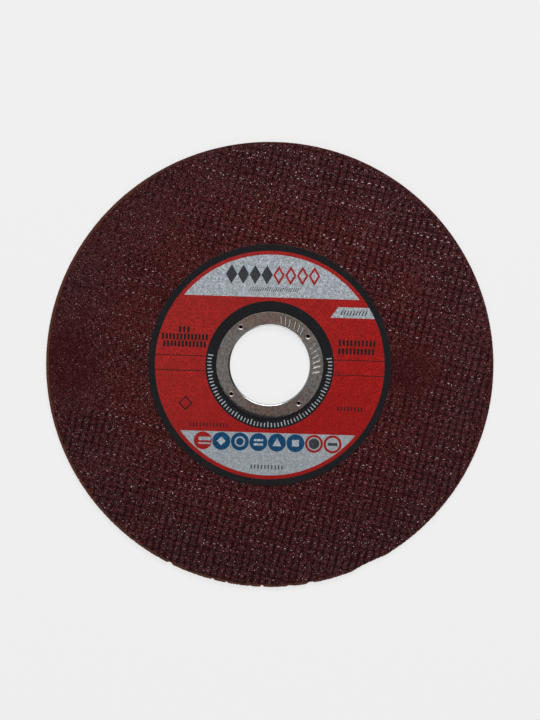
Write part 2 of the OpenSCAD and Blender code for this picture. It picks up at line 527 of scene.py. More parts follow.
def pocket(at):
    """Wall and floor of the pocket that a prong bites into the disc."""
    mouth = circle(POCKET_R, PRONG_SIDES, at)
    points, number, sides = wall([level_loop(mouth, z) for z in (FACE_Z, POCKET_Z)], 2)
    low = np.arange(PRONG_SIDES, 2 * PRONG_SIDES)
    floor = np.c_[low, np.roll(low, -1), np.full(PRONG_SIDES, len(points))]
    return np.concatenate([points, [(*at, POCKET_Z)]]), number, sides, floor


def add_disc(settings, ring):
    """The disc's faces, rim, bore and pockets as one piece."""
    rng = np.random.default_rng(41)
    front, back = (Weave(settings, seed) for seed in FACE_SEEDS.values())
    angles = np.arange(RIM_SIDES) * TAU / RIM_SIDES
    rim = polar(rim_radius(angles, rng), angles)
    edge = rim * (1 - EDGE_DROP / WHEEL_R)
    places = prong_places(ring)
    under_label, round_bore = LABEL_R - 0.4 * MM, DISC_BORE_R + 0.2 * MM
    parts = [disc_face(settings, front, (4, 4), under_label, edge, FACE_Z, True, rng, places),
             disc_face(settings, back, (3, 3), round_bore, edge, BACK_Z, False, rng)]
    loops = [level_loop(edge, BACK_Z)]
    for level in np.linspace(0.06, 0.94, 6):
        rough = 1 - rng.uniform(0, 0.05, RIM_SIDES) * MM / WHEEL_R
        loops.append(level_loop(rim * rough[:, None], BACK_Z + level * (FACE_Z - BACK_Z)))
    loops.append(level_loop(edge, FACE_Z))
    bore = circle(DISC_BORE_R, BORE_SIDES)
    parts += [wall(loops, 1), wall([level_loop(bore, z) for z in (FACE_Z, BACK_Z)], 1)]
    parts += [pocket(at) for at in places]
    materials = [abrasive_material(settings), rim_material(settings), pocket_shade_material(settings)]
    disc = new_piece("abrasive_ground", *joined(parts), materials, "abrasive", "abrasive_disc")
    weld(disc)
    x, y = mesh_points(disc)[:, :2].T
    open_part, shows = bond_cell(front, x, y)
    # The bulge layer holds a faint painted highlight on the bond between the threads.
    paint(disc, cell=1 - 0.82 * shows * (1 - open_part), bulge=shows * open_part,
          coarse=coarseness(x, y), rich=smooth_patch(x, y), outward=outward(x, y),
          tone=round_wheel(x, y, TONE))


class ThreadMesh:
    """Collects threads as closed tubes with flat undersides."""

    SECTION = np.array([(-0.5, -1.0), (-0.2, -0.16), (0, 0), (0.2, -0.16), (0.5, -1.0)])
    SINK = 0.07 * MM        # how far the underside lies below the crown
    SHINE = np.array([0, 0.45, 1, 0.45, 0])
    BARE = np.array([0, 0.8, 1, 0.8, 0])

    def __init__(self):
        self.points, self.quads, self.caps, self.count = [], [], [], 0
        self.shine, self.bare = [], []

    def add(self, x, y, z, across, width, shine, bare, up):
        """One run along x, y, z, with its width along the flat direction across."""
        rings = len(x)
        sides = len(self.SECTION)
        lift = self.SECTION[:, 1] * self.SINK * (1 if up else -1)
        offset = self.SECTION[:, 0] * width
        points = np.empty((rings, sides, 3))
        points[:, :, 0] = x[:, None] + offset * across[0]
        points[:, :, 1] = y[:, None] + offset * across[1]
        points[:, :, 2] = z[:, None] + lift
        number = self.count + np.arange(rings * sides).reshape(rings, sides)
        after = np.roll(number, -1, axis=1)
        quads = np.stack([number[:-1], after[:-1], after[1:], number[1:]], axis=2)
        self.quads.append(quads.reshape(-1, 4))
        self.caps.append(np.array([number[0][::-1], number[-1]]))
        self.shine.append((shine[:, None] * self.SHINE).reshape(-1))
        self.bare.append((bare[:, None] * self.BARE).reshape(-1))
        self.points.append(points.reshape(-1, 3))
        self.count += rings * sides

    def piece(self, name, material):
        points = np.concatenate(self.points)
        groups = [(np.concatenate(self.quads), 0), (np.concatenate(self.caps), 0)]
        piece = new_piece(name, points, groups, [material], "abrasive")
        x, y = points[:, :2].T
        paint(piece, shine=np.concatenate(self.shine), bare=np.concatenate(self.bare),
              outward=outward(x, y), tone=round_wheel(x, y, TONE))
        weld(piece)


def runs(shown, shortest):
    """Slices of consecutive true values at least this long."""
    edges = np.flatnonzero(np.diff(np.r_[0, shown.astype(np.int8), 0]))
    return [slice(a, b) for a, b in zip(edges[::2], edges[1::2]) if b - a >= shortest]


def add_threads(settings, name, along_weft, up, seed):
    """The weft or the warp threads of one face."""
    rng = np.random.default_rng(seed + (1 if along_weft else 2))
    weave = Weave(settings, seed)
    pitch = weave.weft_pitch if along_weft else weave.warp_pitch
    crossing = weave.warp_pitch if along_weft else weave.weft_pitch
    inner = LABEL_R - 0.1 * MM if up else DISC_BORE_R + 0.4 * MM
    outer = WHEEL_R - settings.rim_band
    step = crossing / (5 if up else 4)
    count = int(outer / pitch)
    along = np.arange(-int(outer / step), int(outer / step) + 1) * step
    across = (-weave.s, weave.c) if along_weft else (weave.c, weave.s)
    threads = ThreadMesh()
    for row in range(-count, count + 1):
        lane = row * pitch + sum(sway * np.sin(along * TAU / length + rng.uniform(0, TAU))
                                 for sway, length in WANDER)
        u, v = (along, lane) if along_weft else (lane, along)
        x, y = weave.place(u, v)
        shows = exposure(x, y, seed)
        weft = DEEP_WEFT if row % 2 else HIGH_WEFT
        if along_weft:
            crown, sink = 1 - weave.near_warp(u), weft["sink"]
        else:
            crown, sink = weave.near_weft(v), WARP_SINK
        rise = THREAD_RISE * (crown * 0.9 - 0.25 - sink + 1.25 * (shows - 0.55))
        rise = np.clip(rise, -0.9 * THREAD_RISE, 0.97 * THREAD_RISE)
        z = FACE_Z + rise if up else BACK_Z - rise
        r = np.hypot(x, y)
        cell = np.floor(along / crossing).astype(int)
        cell -= cell.min()
        cells = cell.max() + 1
        numbers = np.arange(cells)
        # Painted glints, partly bare fibre: along the weft crowns in runs, strong on every second weft
        # thread, and as scattered dots on the warp.
        stretch = np.interp(numbers / GLINT_RUN, numbers, rng.uniform(-0.5, 1.5, cells))
        bright = np.clip(stretch, 0.7, 1.0) * rng.uniform(0.6, 1, cells)
        if along_weft:
            shine = crown ** 3 * bright[cell] * weft["shine"]
            bare = weft["bare"] * crown + rng.uniform(-0.15, 0.15, cells)[cell]
        else:
            shine = (rng.uniform(0, 1, len(along)) < 0.12) * rng.uniform(0.3, 0.85, len(along))
            bare = 0.2 + rng.uniform(-0.3, 0.3, cells)[cell]
        shine = shine * glitter(x, y)
        shown = (r > inner) & (r < outer) & (rise > -0.75 * THREAD_RISE)
        width = settings.thread_width * rng.uniform(0.9, 1.1)
        for run in runs(shown, 4):
            threads.add(x[run], y[run], z[run], across, width, shine[run], bare[run], up)
    threads.piece(name, thread_material(settings))


# Printed label

class Label:
    """Print shapes in painting order, in the print's own turned frame."""

    def __init__(self):
        self.shapes = []
        self.lift = 0.0         # how far the marks stand above the place they are given

    def add(self, ink, outline, holds):
        self.shapes.append((ink, outline, holds))

    def disc(self, ink, centre, radius, sides=48):
        centre = np.array(centre) + (0, self.lift)
        self.add(ink, [circle(radius, sides, centre)], lambda p: radii(p - centre) < radius)

    def ring(self, ink, outer, inner, sides=360):
        self.add(ink, [circle(outer, sides), circle(inner, sides)],
                 lambda p: (radii(p) < outer) & (radii(p) > inner))

    def segment(self, ink, radius, edge, side):
        """Part of a disc past a level edge, above it for side 1 and below it for side -1."""
        edge += side * self.lift
        half = math.acos(edge / radius)
        angle = np.linspace(math.pi / 2 - half, math.pi / 2 + half, 90)
        arc = polar(radius, angle) * (1, side)
        self.add(ink, [arc], lambda p: (radii(p) < radius) & (side * p[:, 1] > edge))

    def polygon(self, ink, corners):
        """A convex shape, corners anticlockwise."""
        corners = np.array(corners, float) + (0, self.lift)
        step = np.roll(corners, -1, axis=0) - corners

        def holds(p):
            within = np.ones(len(p), bool)
            for at, way in zip(corners, step):
                within &= way[0] * (p[:, 1] - at[1]) - way[1] * (p[:, 0] - at[0]) > 0
            return within

        self.add(ink, [corners], holds)

    def bar(self, ink, x, y, width, height, slant=0.0):
        """A bar centred on x, y, leaning by slant over its height."""
        w, h, s = width / 2, height / 2, slant / 2
        self.polygon(ink, [(x - w - s, y - h), (x + w - s, y - h),
                           (x + w + s, y + h), (x - w + s, y + h)])

    def lozenge(self, ink, x, y, width, height):
        w, h = width / 2, height / 2
        self.polygon(ink, [(x, y - h), (x + w, y), (x, y + h), (x - w, y)])

    def arc_ticks(self, ink, radius, first, last, count, width, lengths):
        """Radial ticks along an arc, of the lengths in turn, from the same outer radius."""
        for k, angle in enumerate(np.linspace(first, last, count)):
            length = lengths[k % len(lengths)]
            way = np.array([math.cos(angle), math.sin(angle)])
            side = np.array([-way[1], way[0]]) * width / 2
            near, far = way * (radius - length), way * radius
            self.polygon(ink, [near - side, far - side, far + side, near + side])


INKS = ("red", "black", "silver", "blue", "white", "grey")
# Rows of ticks in millimetres: ink, both ends, height, number, and a tick's width, height and slant
TICK_ROWS = (
    ("grey", -6, 7.2, 21.0, 23, 0.2, 1.1, 0.55),
    ("black", -25.3, -23.0, 9.05, 3, 0.6, 1.7),
    ("black", -30.0, -17.8, 7.0, 13, 0.6, 1.7),
    ("black", -29.6, -18.3, 5.0, 12, 0.6, 1.7),
    ("black", 19.4, 29.0, 6.6, 10, 0.6, 1.7),
    ("black", 19.3, 28.7, 4.3, 10, 0.6, 1.7),
    ("black", 19.4, 26.0, -11.9, 8, 0.35, 1.2),
    ("black", -21.7, -11.4, -17.5, 12, 0.32, 1.1),
    ("grey", 19.6, 26.4, 15.0, 9, 0.34, 1.25, 0.5),
    ("grey", -4.3, 4.3, -28.9, 10, 0.34, 1.2),
)


def printed_shapes(s):
    """The label's print: fields of colour with plain marks on them."""
    field = LABEL_R - s.border
    silver = field - s.red_line
    hub = FLANGE_R + s.hub_band
    label = Label()
    label.disc("red", (0, 0), field, 360)
    label.lift = s.print_lift
    label.segment("silver", silver, s.upper_field, 1)
    label.segment("silver", silver, s.lower_field, -1)
    label.polygon("silver", np.array([(16.5, 13.6), (33, 13.6), (33, 16.6), (18.6, 16.6)]) * MM)
    for y in (1.76 * MM, -2.43 * MM):
        label.bar("black", 0, y, 2 * field, 0.22 * MM)
    lozenge_marks(label)
    tick_marks(label)
    spot_marks(label)
    label.lift = 0
    label.ring("black", LABEL_R, field)
    label.disc("black", (0, 0), hub, 360)
    label.arc_ticks("white", 17.45 * MM, math.radians(172), math.radians(368), 61, 0.3 * MM,
                    [1.5 * MM] + [1.15 * MM] * 4)
    return label


def lozenge_marks(label):
    """Filled and open lozenges on the upper silver field, and an open one on the red field."""
    left, pitch, y = -11.4 * MM, 3.3 * MM, 25.0 * MM
    for k in range(8):
        x = left + k * pitch
        label.lozenge("grey" if k < 4 else "red", x, y, 3.2 * MM, 5.4 * MM)
        if k >= 4:
            label.lozenge("silver", x, y, 1.9 * MM, 3.2 * MM)
    for ink, across in (("black", 4.0 * MM), ("red", 3.0 * MM)):
        label.lozenge(ink, -23.2 * MM, -11.6 * MM, across, across)


def tick_marks(label):
    """Rows of plain ticks."""
    for ink, left, right, y, count, *tick in TICK_ROWS:
        for x in np.linspace(left * MM, right * MM, count):
            label.bar(ink, x, y * MM, *(length * MM for length in tick))


def spot_marks(label):
    """Round spots on the lower silver field, with plain shapes in them."""
    y, pitch, first, radius = -21.95 * MM, 5.18 * MM, -18.05 * MM, 2.52 * MM
    spots = [first + k * pitch for k in range(8)]
    for k, x in enumerate(spots):
        label.disc("red" if k in (0, 6, 7) else "blue", (x, y), radius)
        if k > 5:
            label.disc("silver", (x, y), radius * 0.74)
    uneven, lozenge, ring, even, wedge, block, dot, dash = spots
    label.bar("silver", uneven + 0.5 * MM, y - 0.75 * MM, 3.4 * MM, 0.45 * MM)
    label.bar("silver", uneven + 0.5 * MM, y + 0.55 * MM, 3.4 * MM, 1.0 * MM)
    label.lozenge("white", lozenge, y, 2.5 * MM, 2.5 * MM)
    label.disc("white", (ring, y), 1.45 * MM)
    label.disc("blue", (ring, y), 1.05 * MM)
    label.bar("white", even, y + 0.55 * MM, 2.6 * MM, 0.6 * MM)
    label.bar("white", even, y - 0.65 * MM, 2.6 * MM, 0.6 * MM)
    half, low, high = 1.25 * MM, 1.0 * MM, 1.35 * MM
    label.polygon("white", [(wedge - half, y - low), (wedge + half, y - low), (wedge, y + high)])
    label.bar("white", block, y, 1.9 * MM, 1.9 * MM)
    label.disc("grey", (dot, y), 1.5 * MM)
    label.bar("grey", dash, y, 2.7 * MM, 0.8 * MM)


def add_label(settings, ring):
    """The label, cut along its print so that each ink has its faces."""
    label = printed_shapes(settings)
    places = prong_places(ring, -settings.print_turn)
    loops = [circle(LABEL_R, 360), circle(LABEL_HOLE_R, 180)]
    loops += [circle(POCKET_R, PRONG_SIDES, at) for at in places]
    for _, outlines, _ in label.shapes:
        loops += outlines
    points, faces = sheet(np.zeros((0, 2)), loops, loops[0], LABEL_HOLE_R, places, POCKET_R)
    middle = points[faces].mean(1)
    ink_of = np.full(len(faces), INKS.index("black"))
    for ink, _, holds in label.shapes:
        ink_of[holds(middle)] = INKS.index(ink)

    c, s = math.cos(settings.print_turn), math.sin(settings.print_turn)
    x, y = points.T
    turned = np.c_[x * c - y * s, x * s + y * c]
    corners = np.concatenate([level_loop(turned, LABEL_TOP), level_loop(turned, FACE_Z)])
    edge = outline_loops(faces)
    cut = np.c_[edge[:, 1], edge[:, 0], edge[:, 0] + len(x), edge[:, 1] + len(x)]
    paper = len(INKS)
    groups = [(faces, ink_of), (faces[:, ::-1] + len(x), paper), (cut, paper)]
    materials = [ink_material(name, getattr(settings, name)) for name in INKS]
    materials.append(paper_material())
    new_piece("printed_label", corners, groups, materials, "label_paper", "label", smooth=False)


# Arbor ring

def prong_places(s, turned=0.0):
    """Middles of the prongs."""
    radius = FLANGE_R - s.prong_inset
    angle = s.prong_turn + turned + np.arange(s.prongs) * TAU / s.prongs
    return polar(radius, angle)


def stroke_dents(x, y):
    """How far each point lies in a stamped stroke, and in the burr along one, from 0 to 1."""
    cut, burr = np.zeros(len(x)), np.zeros(len(x))
    lean_cos, lean_sin = math.cos(STROKE_LEAN), math.sin(STROKE_LEAN)
    for angle in map(math.radians, STROKES):
        radial = np.array([math.cos(angle), math.sin(angle)])
        along = lean_cos * radial + lean_sin * np.array([-radial[1], radial[0]])
        px, py = x - STROKE_CIRCLE * radial[0], y - STROKE_CIRCLE * radial[1]
        far = np.maximum(np.abs(px * along[0] + py * along[1]) - STROKE_HALF_LENGTH, 0)
        off = np.hypot(far, px * along[1] - py * along[0]) / STROKE_HALF_WIDTH
        cut = np.maximum(cut, np.exp(-off ** 2))
        burr = np.maximum(burr, np.exp(-((off - 1.7) / 0.6) ** 2))
    return cut, burr


def flange_dip(s, x, y):
    """Depth of the flange's top below its flat: mouths of the prongs and stamped strokes."""
    dip = np.full(len(x), s.stamp_depth * 0.4)
    for px, py in prong_places(s):
        d = np.hypot(x - px, y - py) / s.prong_hole
        dip = np.maximum(dip, MOUTH_DEPTH * np.clip((MOUTH[-1] - d) / (MOUTH[-1] - 1), 0, 1))
    cut, burr = stroke_dents(x, y)
    return np.maximum(dip + s.stamp_depth * (cut - 0.45 * burr), 0)


def lathe(profile, sides, centre=(0, 0)):
    """A round wall along a list of (radius, height)."""
    return wall([level_loop(circle(r, sides, centre), z) for r, z in profile])


def arc_profile(centre, radius, start, end, count):
    """Points of an arc between two angles in degrees."""
    angle = np.linspace(math.radians(start), math.radians(end), count)
    return [tuple(point) for point in polar(radius, angle) + centre]


def add_ring(s):
    """The ring's collar, bend, flange and prongs as one piece."""
    bend = (BORE_R + s.lip, FLANGE_TOP - s.lip)
    rounded = (FLANGE_R - s.edge, FLANGE_TOP - s.edge)
    collar_r = BORE_R + SHEET
    mouth = arc_profile(bend, s.lip, 90, 180, 12)
    outside = arc_profile(rounded, s.edge, 90, 0, 6)
    root = arc_profile(bend, s.lip - SHEET, 180, 90, 5)
    bottom = ring_low.z
    inner = mouth + [(BORE_R, bottom + BREAK), (BORE_R + BREAK, bottom)]
    inner += [(collar_r - BREAK, bottom), (collar_r, bottom + BREAK)] + root
    outer = outside + [(FLANGE_R, LABEL_TOP)]
    places = prong_places(s)
    mouths = [s.prong_hole * m for m in MOUTH]
    root_r, tip_r = s.prong_hole + ROOT_WALL, s.prong_hole + TIP_WALL
    tip = LABEL_TOP - PRONG_DEPTH
    mouth_z = FLANGE_TOP - flange_dip(s, places[:1, 0] + s.prong_hole, places[:1, 1])[0]
    prong = [(s.prong_hole, mouth_z), (s.prong_hole, tip), (tip_r, tip), (root_r, LABEL_TOP)]
    parts = [lathe(inner, RING_SIDES), lathe(outer, RING_SIDES),
             flange_face(s, places, bend[0], rounded[0], mouths, True),
             flange_face(s, places, root[-1][0], FLANGE_R, [root_r], False)]
    parts += [lathe(prong, PRONG_SIDES, at) for at in places]
    ring = new_piece("stamped_ring", *joined(parts), [steel_material(s)], "ring_steel", "arbor_ring")
    weld(ring)
    x, y, z = mesh_points(ring).T
    cut, burr = stroke_dents(x, y)
    # Painted highlight on the stamped strokes, stronger on the upper ones, partly steel laid bare by
    # stamping.
    upper = smooth_step(0.5, 0.8, angle_of(x, y))
    fresh = cut * (0.47 + 0.53 * upper)
    # Painted highlight on the lower side of each prong's mouth.
    for at in places:
        px, py = (x - at[0]) / s.prong_hole, (y - at[1]) / s.prong_hole
        lit = smooth_step(0.5, -0.9, py) * smooth_step(MOUTH[-1], MOUTH[2], np.hypot(px, py))
        fresh = np.maximum(fresh, 0.65 * lit)
    above = z > LABEL_TOP + 0.25 * SHEET
    # Stores the painted highlights, and the painted shade beside the upper strokes, on the flange's
    # top.
    paint(ring, fresh=fresh * above, flank=burr * upper * above)


def flange_face(s, places, inner, outer, circles, top):
    """Top or underside of the flange, with a hole at each prong."""
    loops = [circle(inner, RING_SIDES), circle(outer, RING_SIDES)]
    loops += [circle(r, PRONG_SIDES, at) for at in places for r in circles]
    spread = np.zeros((0, 2))
    if top:
        rows = np.arange(inner + FLANGE_STEP, outer - FLANGE_STEP / 2, FLANGE_STEP)
        spread = np.concatenate([circle(r, 2 * RING_SIDES) for r in rows])
        for at in places:
            spread = spread[radii(spread - at) > circles[-1] + 0.05 * MM]
    points, faces = sheet(spread, loops, loops[1], inner * 0.9999, places, circles[0] * 0.995)
    if not top:
        return level_loop(points, LABEL_TOP), 0, faces[:, ::-1]
    r = radii(points)
    dented = FLANGE_TOP - flange_dip(s, *points.T)
    z = np.where((r < inner * 1.0001) | (r > outer * 0.9999), FLANGE_TOP, dented)
    return np.c_[points, z], 0, faces


# Materials

class Shader:
    """A material's nodes, with one Principled shader and the tone that its coats build up."""

    def __init__(self, name):
        self.material = bpy.data.materials.new(name)
        self.material.use_nodes = True
        self.tree = self.material.node_tree
        self.out = self.tree.nodes["Material Output"]
        self.main = self.tree.nodes["Principled BSDF"]
        place = self.node("ShaderNodeTexCoord").outputs["Object"]
        self.mm = self.vector("MULTIPLY", place, (1 / MM,) * 3)
        self.tone = None

    def node(self, kind, inputs=None, **settings):
        made = self.tree.nodes.new(kind)
        for name, value in settings.items():
            setattr(made, name, value)
        for name, value in (inputs or {}).items():
            self.set(made.inputs[name], value)
        return made

    def set(self, socket, value):
        if isinstance(value, bpy.types.NodeSocket):
            self.tree.links.new(value, socket)
        elif hasattr(value, "__len__") and len(socket.default_value) == 4 and len(value) == 3:
            socket.default_value = (*value, 1)
        else:
            socket.default_value = value

    def shade(self, **inputs):
        """Sets inputs of the Principled shader."""
        for name, value in inputs.items():
            self.set(self.main.inputs[name.replace("_", " ")], value)

    def math(self, operation, a, b=0.0):
        return self.node("ShaderNodeMath", {0: a, 1: b}, operation=operation).outputs[0]

    def product(self, a, b):
        return self.math("MULTIPLY", a, b)

    def ramp(self, value, low, high, out_low=0.0, out_high=1.0):
        """value from low to high, as a number from out_low to out_high."""
        return self.node("ShaderNodeMapRange", {"Value": value, "From Min": low, "From Max": high,
                         "To Min": out_low, "To Max": out_high}).outputs["Result"]

    def mix(self, amount, a, b):
        made = self.node("ShaderNodeMix", data_type="RGBA")
        for number, value in ((0, amount), (6, a), (7, b)):
            self.set(made.inputs[number], value)
        return made.outputs[2]

    def coat(self, amount, colour, factor=1.0):
        """Lays a colour over the tone, darker or paler by a factor."""
        self.tone = self.mix(amount, self.tone, colour if factor == 1 else scaled(colour, factor))

    def vector(self, operation, *values):
        """Vector maths. A length or a dot product is a number, the rest are vectors."""
        made = self.node("ShaderNodeVectorMath", dict(enumerate(values)), operation=operation)
        return made.outputs["Value" if operation in ("LENGTH", "DOT_PRODUCT") else "Vector"]

    def times(self, colour, factor):
        made = self.node("ShaderNodeVectorMath", {0: colour, "Scale": factor}, operation="SCALE")
        return made.outputs["Vector"]

    def height(self, axis):
        """Place along an axis, in millimetres: 1 is up the label, 2 out of the front."""
        return self.node("ShaderNodeSeparateXYZ", {0: self.mm}).outputs[axis]

    def flat(self):
        """Place on the face seen along the bore axis, in millimetres."""
        return self.vector("MULTIPLY", self.mm, (1, 1, 0))

    def radius(self):
        return self.vector("LENGTH", self.flat())

    def facing(self, turned, low, high):
        """1 on the side of the wheel that a direction points to, 0 on the other."""
        way = (math.cos(turned), math.sin(turned), 0)
        towards = self.vector("DOT_PRODUCT", self.vector("NORMALIZE", self.flat()), way)
        return self.ramp(towards, low, high)

    def noise(self, per_mm, detail=3.0, rough=0.6, vector=None):
        return self.node("ShaderNodeTexNoise", {"Vector": vector or self.mm, "Scale": per_mm,
                         "Detail": detail, "Roughness": rough}).outputs[0]

    def cells(self, per_mm, vector=None):
        """Random number of each grain, and the distance to its middle."""
        made = self.node("ShaderNodeTexVoronoi", {"Vector": vector or self.mm, "Scale": per_mm})
        number = self.node("ShaderNodeSeparateColor", {"Color": made.outputs["Color"]}).outputs[0]
        return number, made.outputs["Distance"]

    def bump(self, height, depth, strength=1.0, normal=None):
        """Bump of a height from 0 to 1, as deep as depth."""
        inputs = {"Height": height, "Distance": depth, "Strength": strength}
        if normal:
            inputs["Normal"] = normal
        return self.node("ShaderNodeBump", inputs).outputs["Normal"]

    def painted(self, name):
        return self.node("ShaderNodeAttribute", attribute_name=name).outputs["Fac"]


def scaled(colour, factor):
    """A colour made darker or paler."""
    return tuple(c * factor for c in colour)


def abrasive_material(s):
    """Dark resin-bonded grain, paler along part of the rim."""
    shader = Shader("abrasive_bond")
    fine = shader.noise(3.8, 3, 0.65)
    slow = shader.noise(0.07, 2, 0.5)
    number, distance = shader.cells(2.2)
    coarse = shader.painted("coarse")
    cell = shader.math("ADD", shader.painted("cell"), shader.ramp(fine, 0.35, 0.65, -0.3, 0.3))
    body = shader.mix(shader.painted("outward"), s.brown, s.outer_brown)
    body = shader.mix(shader.ramp(slow, 0.4, 0.62, 0, 0.6), body, s.red_brown)
    body = shader.mix(shader.painted("rich"), body, scaled(s.red_brown, 0.78))
    body = shader.times(body, shader.painted("tone"))
    light = shader.mix(0.07, scaled(s.brown, 1.35), s.glass)
    shader.tone = shader.mix(shader.ramp(cell, 0.0, 0.62), scaled(s.thread_dark, 0.5), body)
    # Painted highlight on the middle of the bond between the threads.
    shader.coat(shader.ramp(shader.painted("bulge"), 0.4, 1.0, 0, 0.05), light)
    shader.coat(shader.product(shader.ramp(fine, 0.4, 0.5, 1, 0), coarse), s.thread_dark, 0.4)
    shader.coat(shader.product(shader.ramp(fine, 0.54, 0.64), coarse), light)
    # Painted glints on some grains, partly pale grains.
    grain = shader.product(shader.ramp(number, 0.84, 0.98), coarse)
    speck = shader.product(grain, shader.ramp(distance, 0.4, 0.12))
    shader.coat(shader.product(speck, 0.6), s.glass, 0.55)
    shader.coat(rim_band(shader, s, fine), s.rim_brown)
    shader.shade(Base_Color=shader.tone, Roughness=shader.ramp(fine, 0.3, 0.7, 0.7, 0.42))
    shader.shade(Specular_IOR_Level=0.03)
    relief = shader.math("ADD", fine, shader.product(distance, -0.5))
    shader.shade(Normal=shader.bump(relief, 0.12 * MM))
    return shader.material


def rim_band(shader, s, noise):
    """Where the face is paler along the rim, on one side."""
    start = (WHEEL_R - s.pale_band) / MM
    ragged = shader.math("ADD", shader.radius(), shader.ramp(noise, 0.3, 0.7, -0.2, 0.2))
    near = shader.ramp(ragged, start - 0.1, start + 0.15)
    return shader.product(near, shader.facing(s.rim_turn, -0.1, 0.35))


def rim_material(s):
    """Bare grain of the rim's wall."""
    shader = Shader("abrasive_rim")
    fine = shader.noise(3.2, 4, 0.7)
    number, distance = shader.cells(3.4)
    dark, pale = scaled(s.rim_brown, 0.4), scaled(s.rim_brown, 1.25)
    shader.tone = shader.mix(shader.ramp(fine, 0.3, 0.7), dark, pale)
    # Painted glints on some grains of the rim, partly pale grains.
    speck = shader.product(shader.ramp(number, 0.8, 1.0), shader.ramp(distance, 0.45, 0.1))
    shader.coat(speck, s.glass, 0.35)
    shader.shade(Base_Color=shader.tone, Roughness=0.75, Specular_IOR_Level=0.2)
    relief = shader.math("ADD", fine, shader.product(distance, -0.8))
    shader.shade(Normal=shader.bump(relief, 0.08 * MM))
    return shader.material


def pocket_shade_material(s):
    """Painted shade in the prongs' pockets: nearly black grain, out of the light."""
    shader = Shader("abrasive_pocket")
    fine = shader.noise(4, 3, 0.7)
    tone = shader.mix(fine, scaled(s.thread_dark, 0.1), scaled(s.thread_dark, 0.4))
    shader.shade(Base_Color=tone, Roughness=0.9, Specular_IOR_Level=0.05)
    return shader.material


def thread_material(s):
    """Glass thread soaked in dark resin, bare on some of its crowns, with painted glints there."""
    made = bpy.data.materials.get("glass_thread")
    if made:
        return made
    shader = Shader("glass_thread")
    fine = shader.noise(2.8, 3, 0.7)
    brown = shader.mix(shader.painted("outward"), s.brown, s.outer_brown)
    brown = shader.times(brown, shader.painted("tone"))
    body = shader.mix(shader.ramp(fine, 0.38, 0.62), scaled(s.thread_dark, 0.8), brown)
    bare = shader.math("ADD", shader.painted("bare"), shader.ramp(fine, 0.35, 0.65, -0.5, 0.5))
    bare = shader.ramp(bare, 0.2, 1.0, 0.1, 0.9)
    shader.tone = shader.mix(bare, scaled(s.thread_dark, 0.4), body)
    # Painted glints on the crowns, partly bare fibre.
    shine = shader.product(shader.painted("shine"), shader.ramp(fine, 0.4, 0.6, 0.5, 1.2))
    shader.coat(shader.ramp(shine, 0.2, 0.9), s.glass)
    shader.shade(Base_Color=shader.tone, Roughness=shader.ramp(fine, 0.3, 0.7, 0.3, 0.5))
    shader.shade(Normal=shader.bump(fine, 0.03 * MM, 0.7), Specular_IOR_Level=0.1)
    return shader.material


def ink_material(name, colour):
    """Ink on metallised paper. Silver is the bare paper."""
    shader = Shader("label_" + name)
    fibre = shader.noise(2.6, 4, 0.7)
    height = shader.height(1)
    bare = name == "silver"
    low, high = (0.4, 1.68) if bare else (0.38, 1.62)
    shader.tone = shader.mix(shader.ramp(fibre, 0.36, 0.64), scaled(colour, low), scaled(colour, high))
    if bare:
        shader.coat(shader.ramp(shader.noise(0.9, 3, 0.6), 0.42, 0.62, 0, 0.5), colour, 0.6)
        # Painted shade: the bare paper darker towards the bottom, as lit from above.
        shader.coat(shader.ramp(height, 5, -25, 0, 0.45), colour, 0.6)
        shader.shade(Metallic=0.2, Roughness=shader.ramp(fibre, 0.3, 0.7, 0.55, 0.4))
    else:
        shader.coat(shader.ramp(shader.noise(0.35, 3, 0.5), 0.42, 0.62, 0, 0.4), colour, 0.75)
        shader.shade(Roughness=shader.ramp(fibre, 0.3, 0.7, 0.6, 0.48))
    if name == "red":
        # Painted shade: the red darker towards the bottom.
        shader.coat(shader.ramp(height, -4, -16, 0, 0.35), colour, 0.72)
        # Painted sheen: the red paler and greyer towards the upper left.
        across = shader.vector("DOT_PRODUCT", shader.mm, (-0.7, 0.7, 0))
        shader.coat(shader.ramp(across, -20, 25, 0, 0.035), (0.22, 0.22, 0.19))
    shader.shade(Base_Color=shader.tone, Specular_IOR_Level=0.12)
    shader.shade(Normal=shader.bump(fibre, 0.012 * MM, 0.8))
    return shader.material


def paper_material():
    """Cut edge and underside of the label."""
    shader = Shader("label_edge")
    fibre = shader.noise(4, 3, 0.6)
    shader.shade(Base_Color=shader.mix(fibre, (0.1, 0.1, 0.1), (0.3, 0.3, 0.28)), Roughness=0.85)
    return shader.material


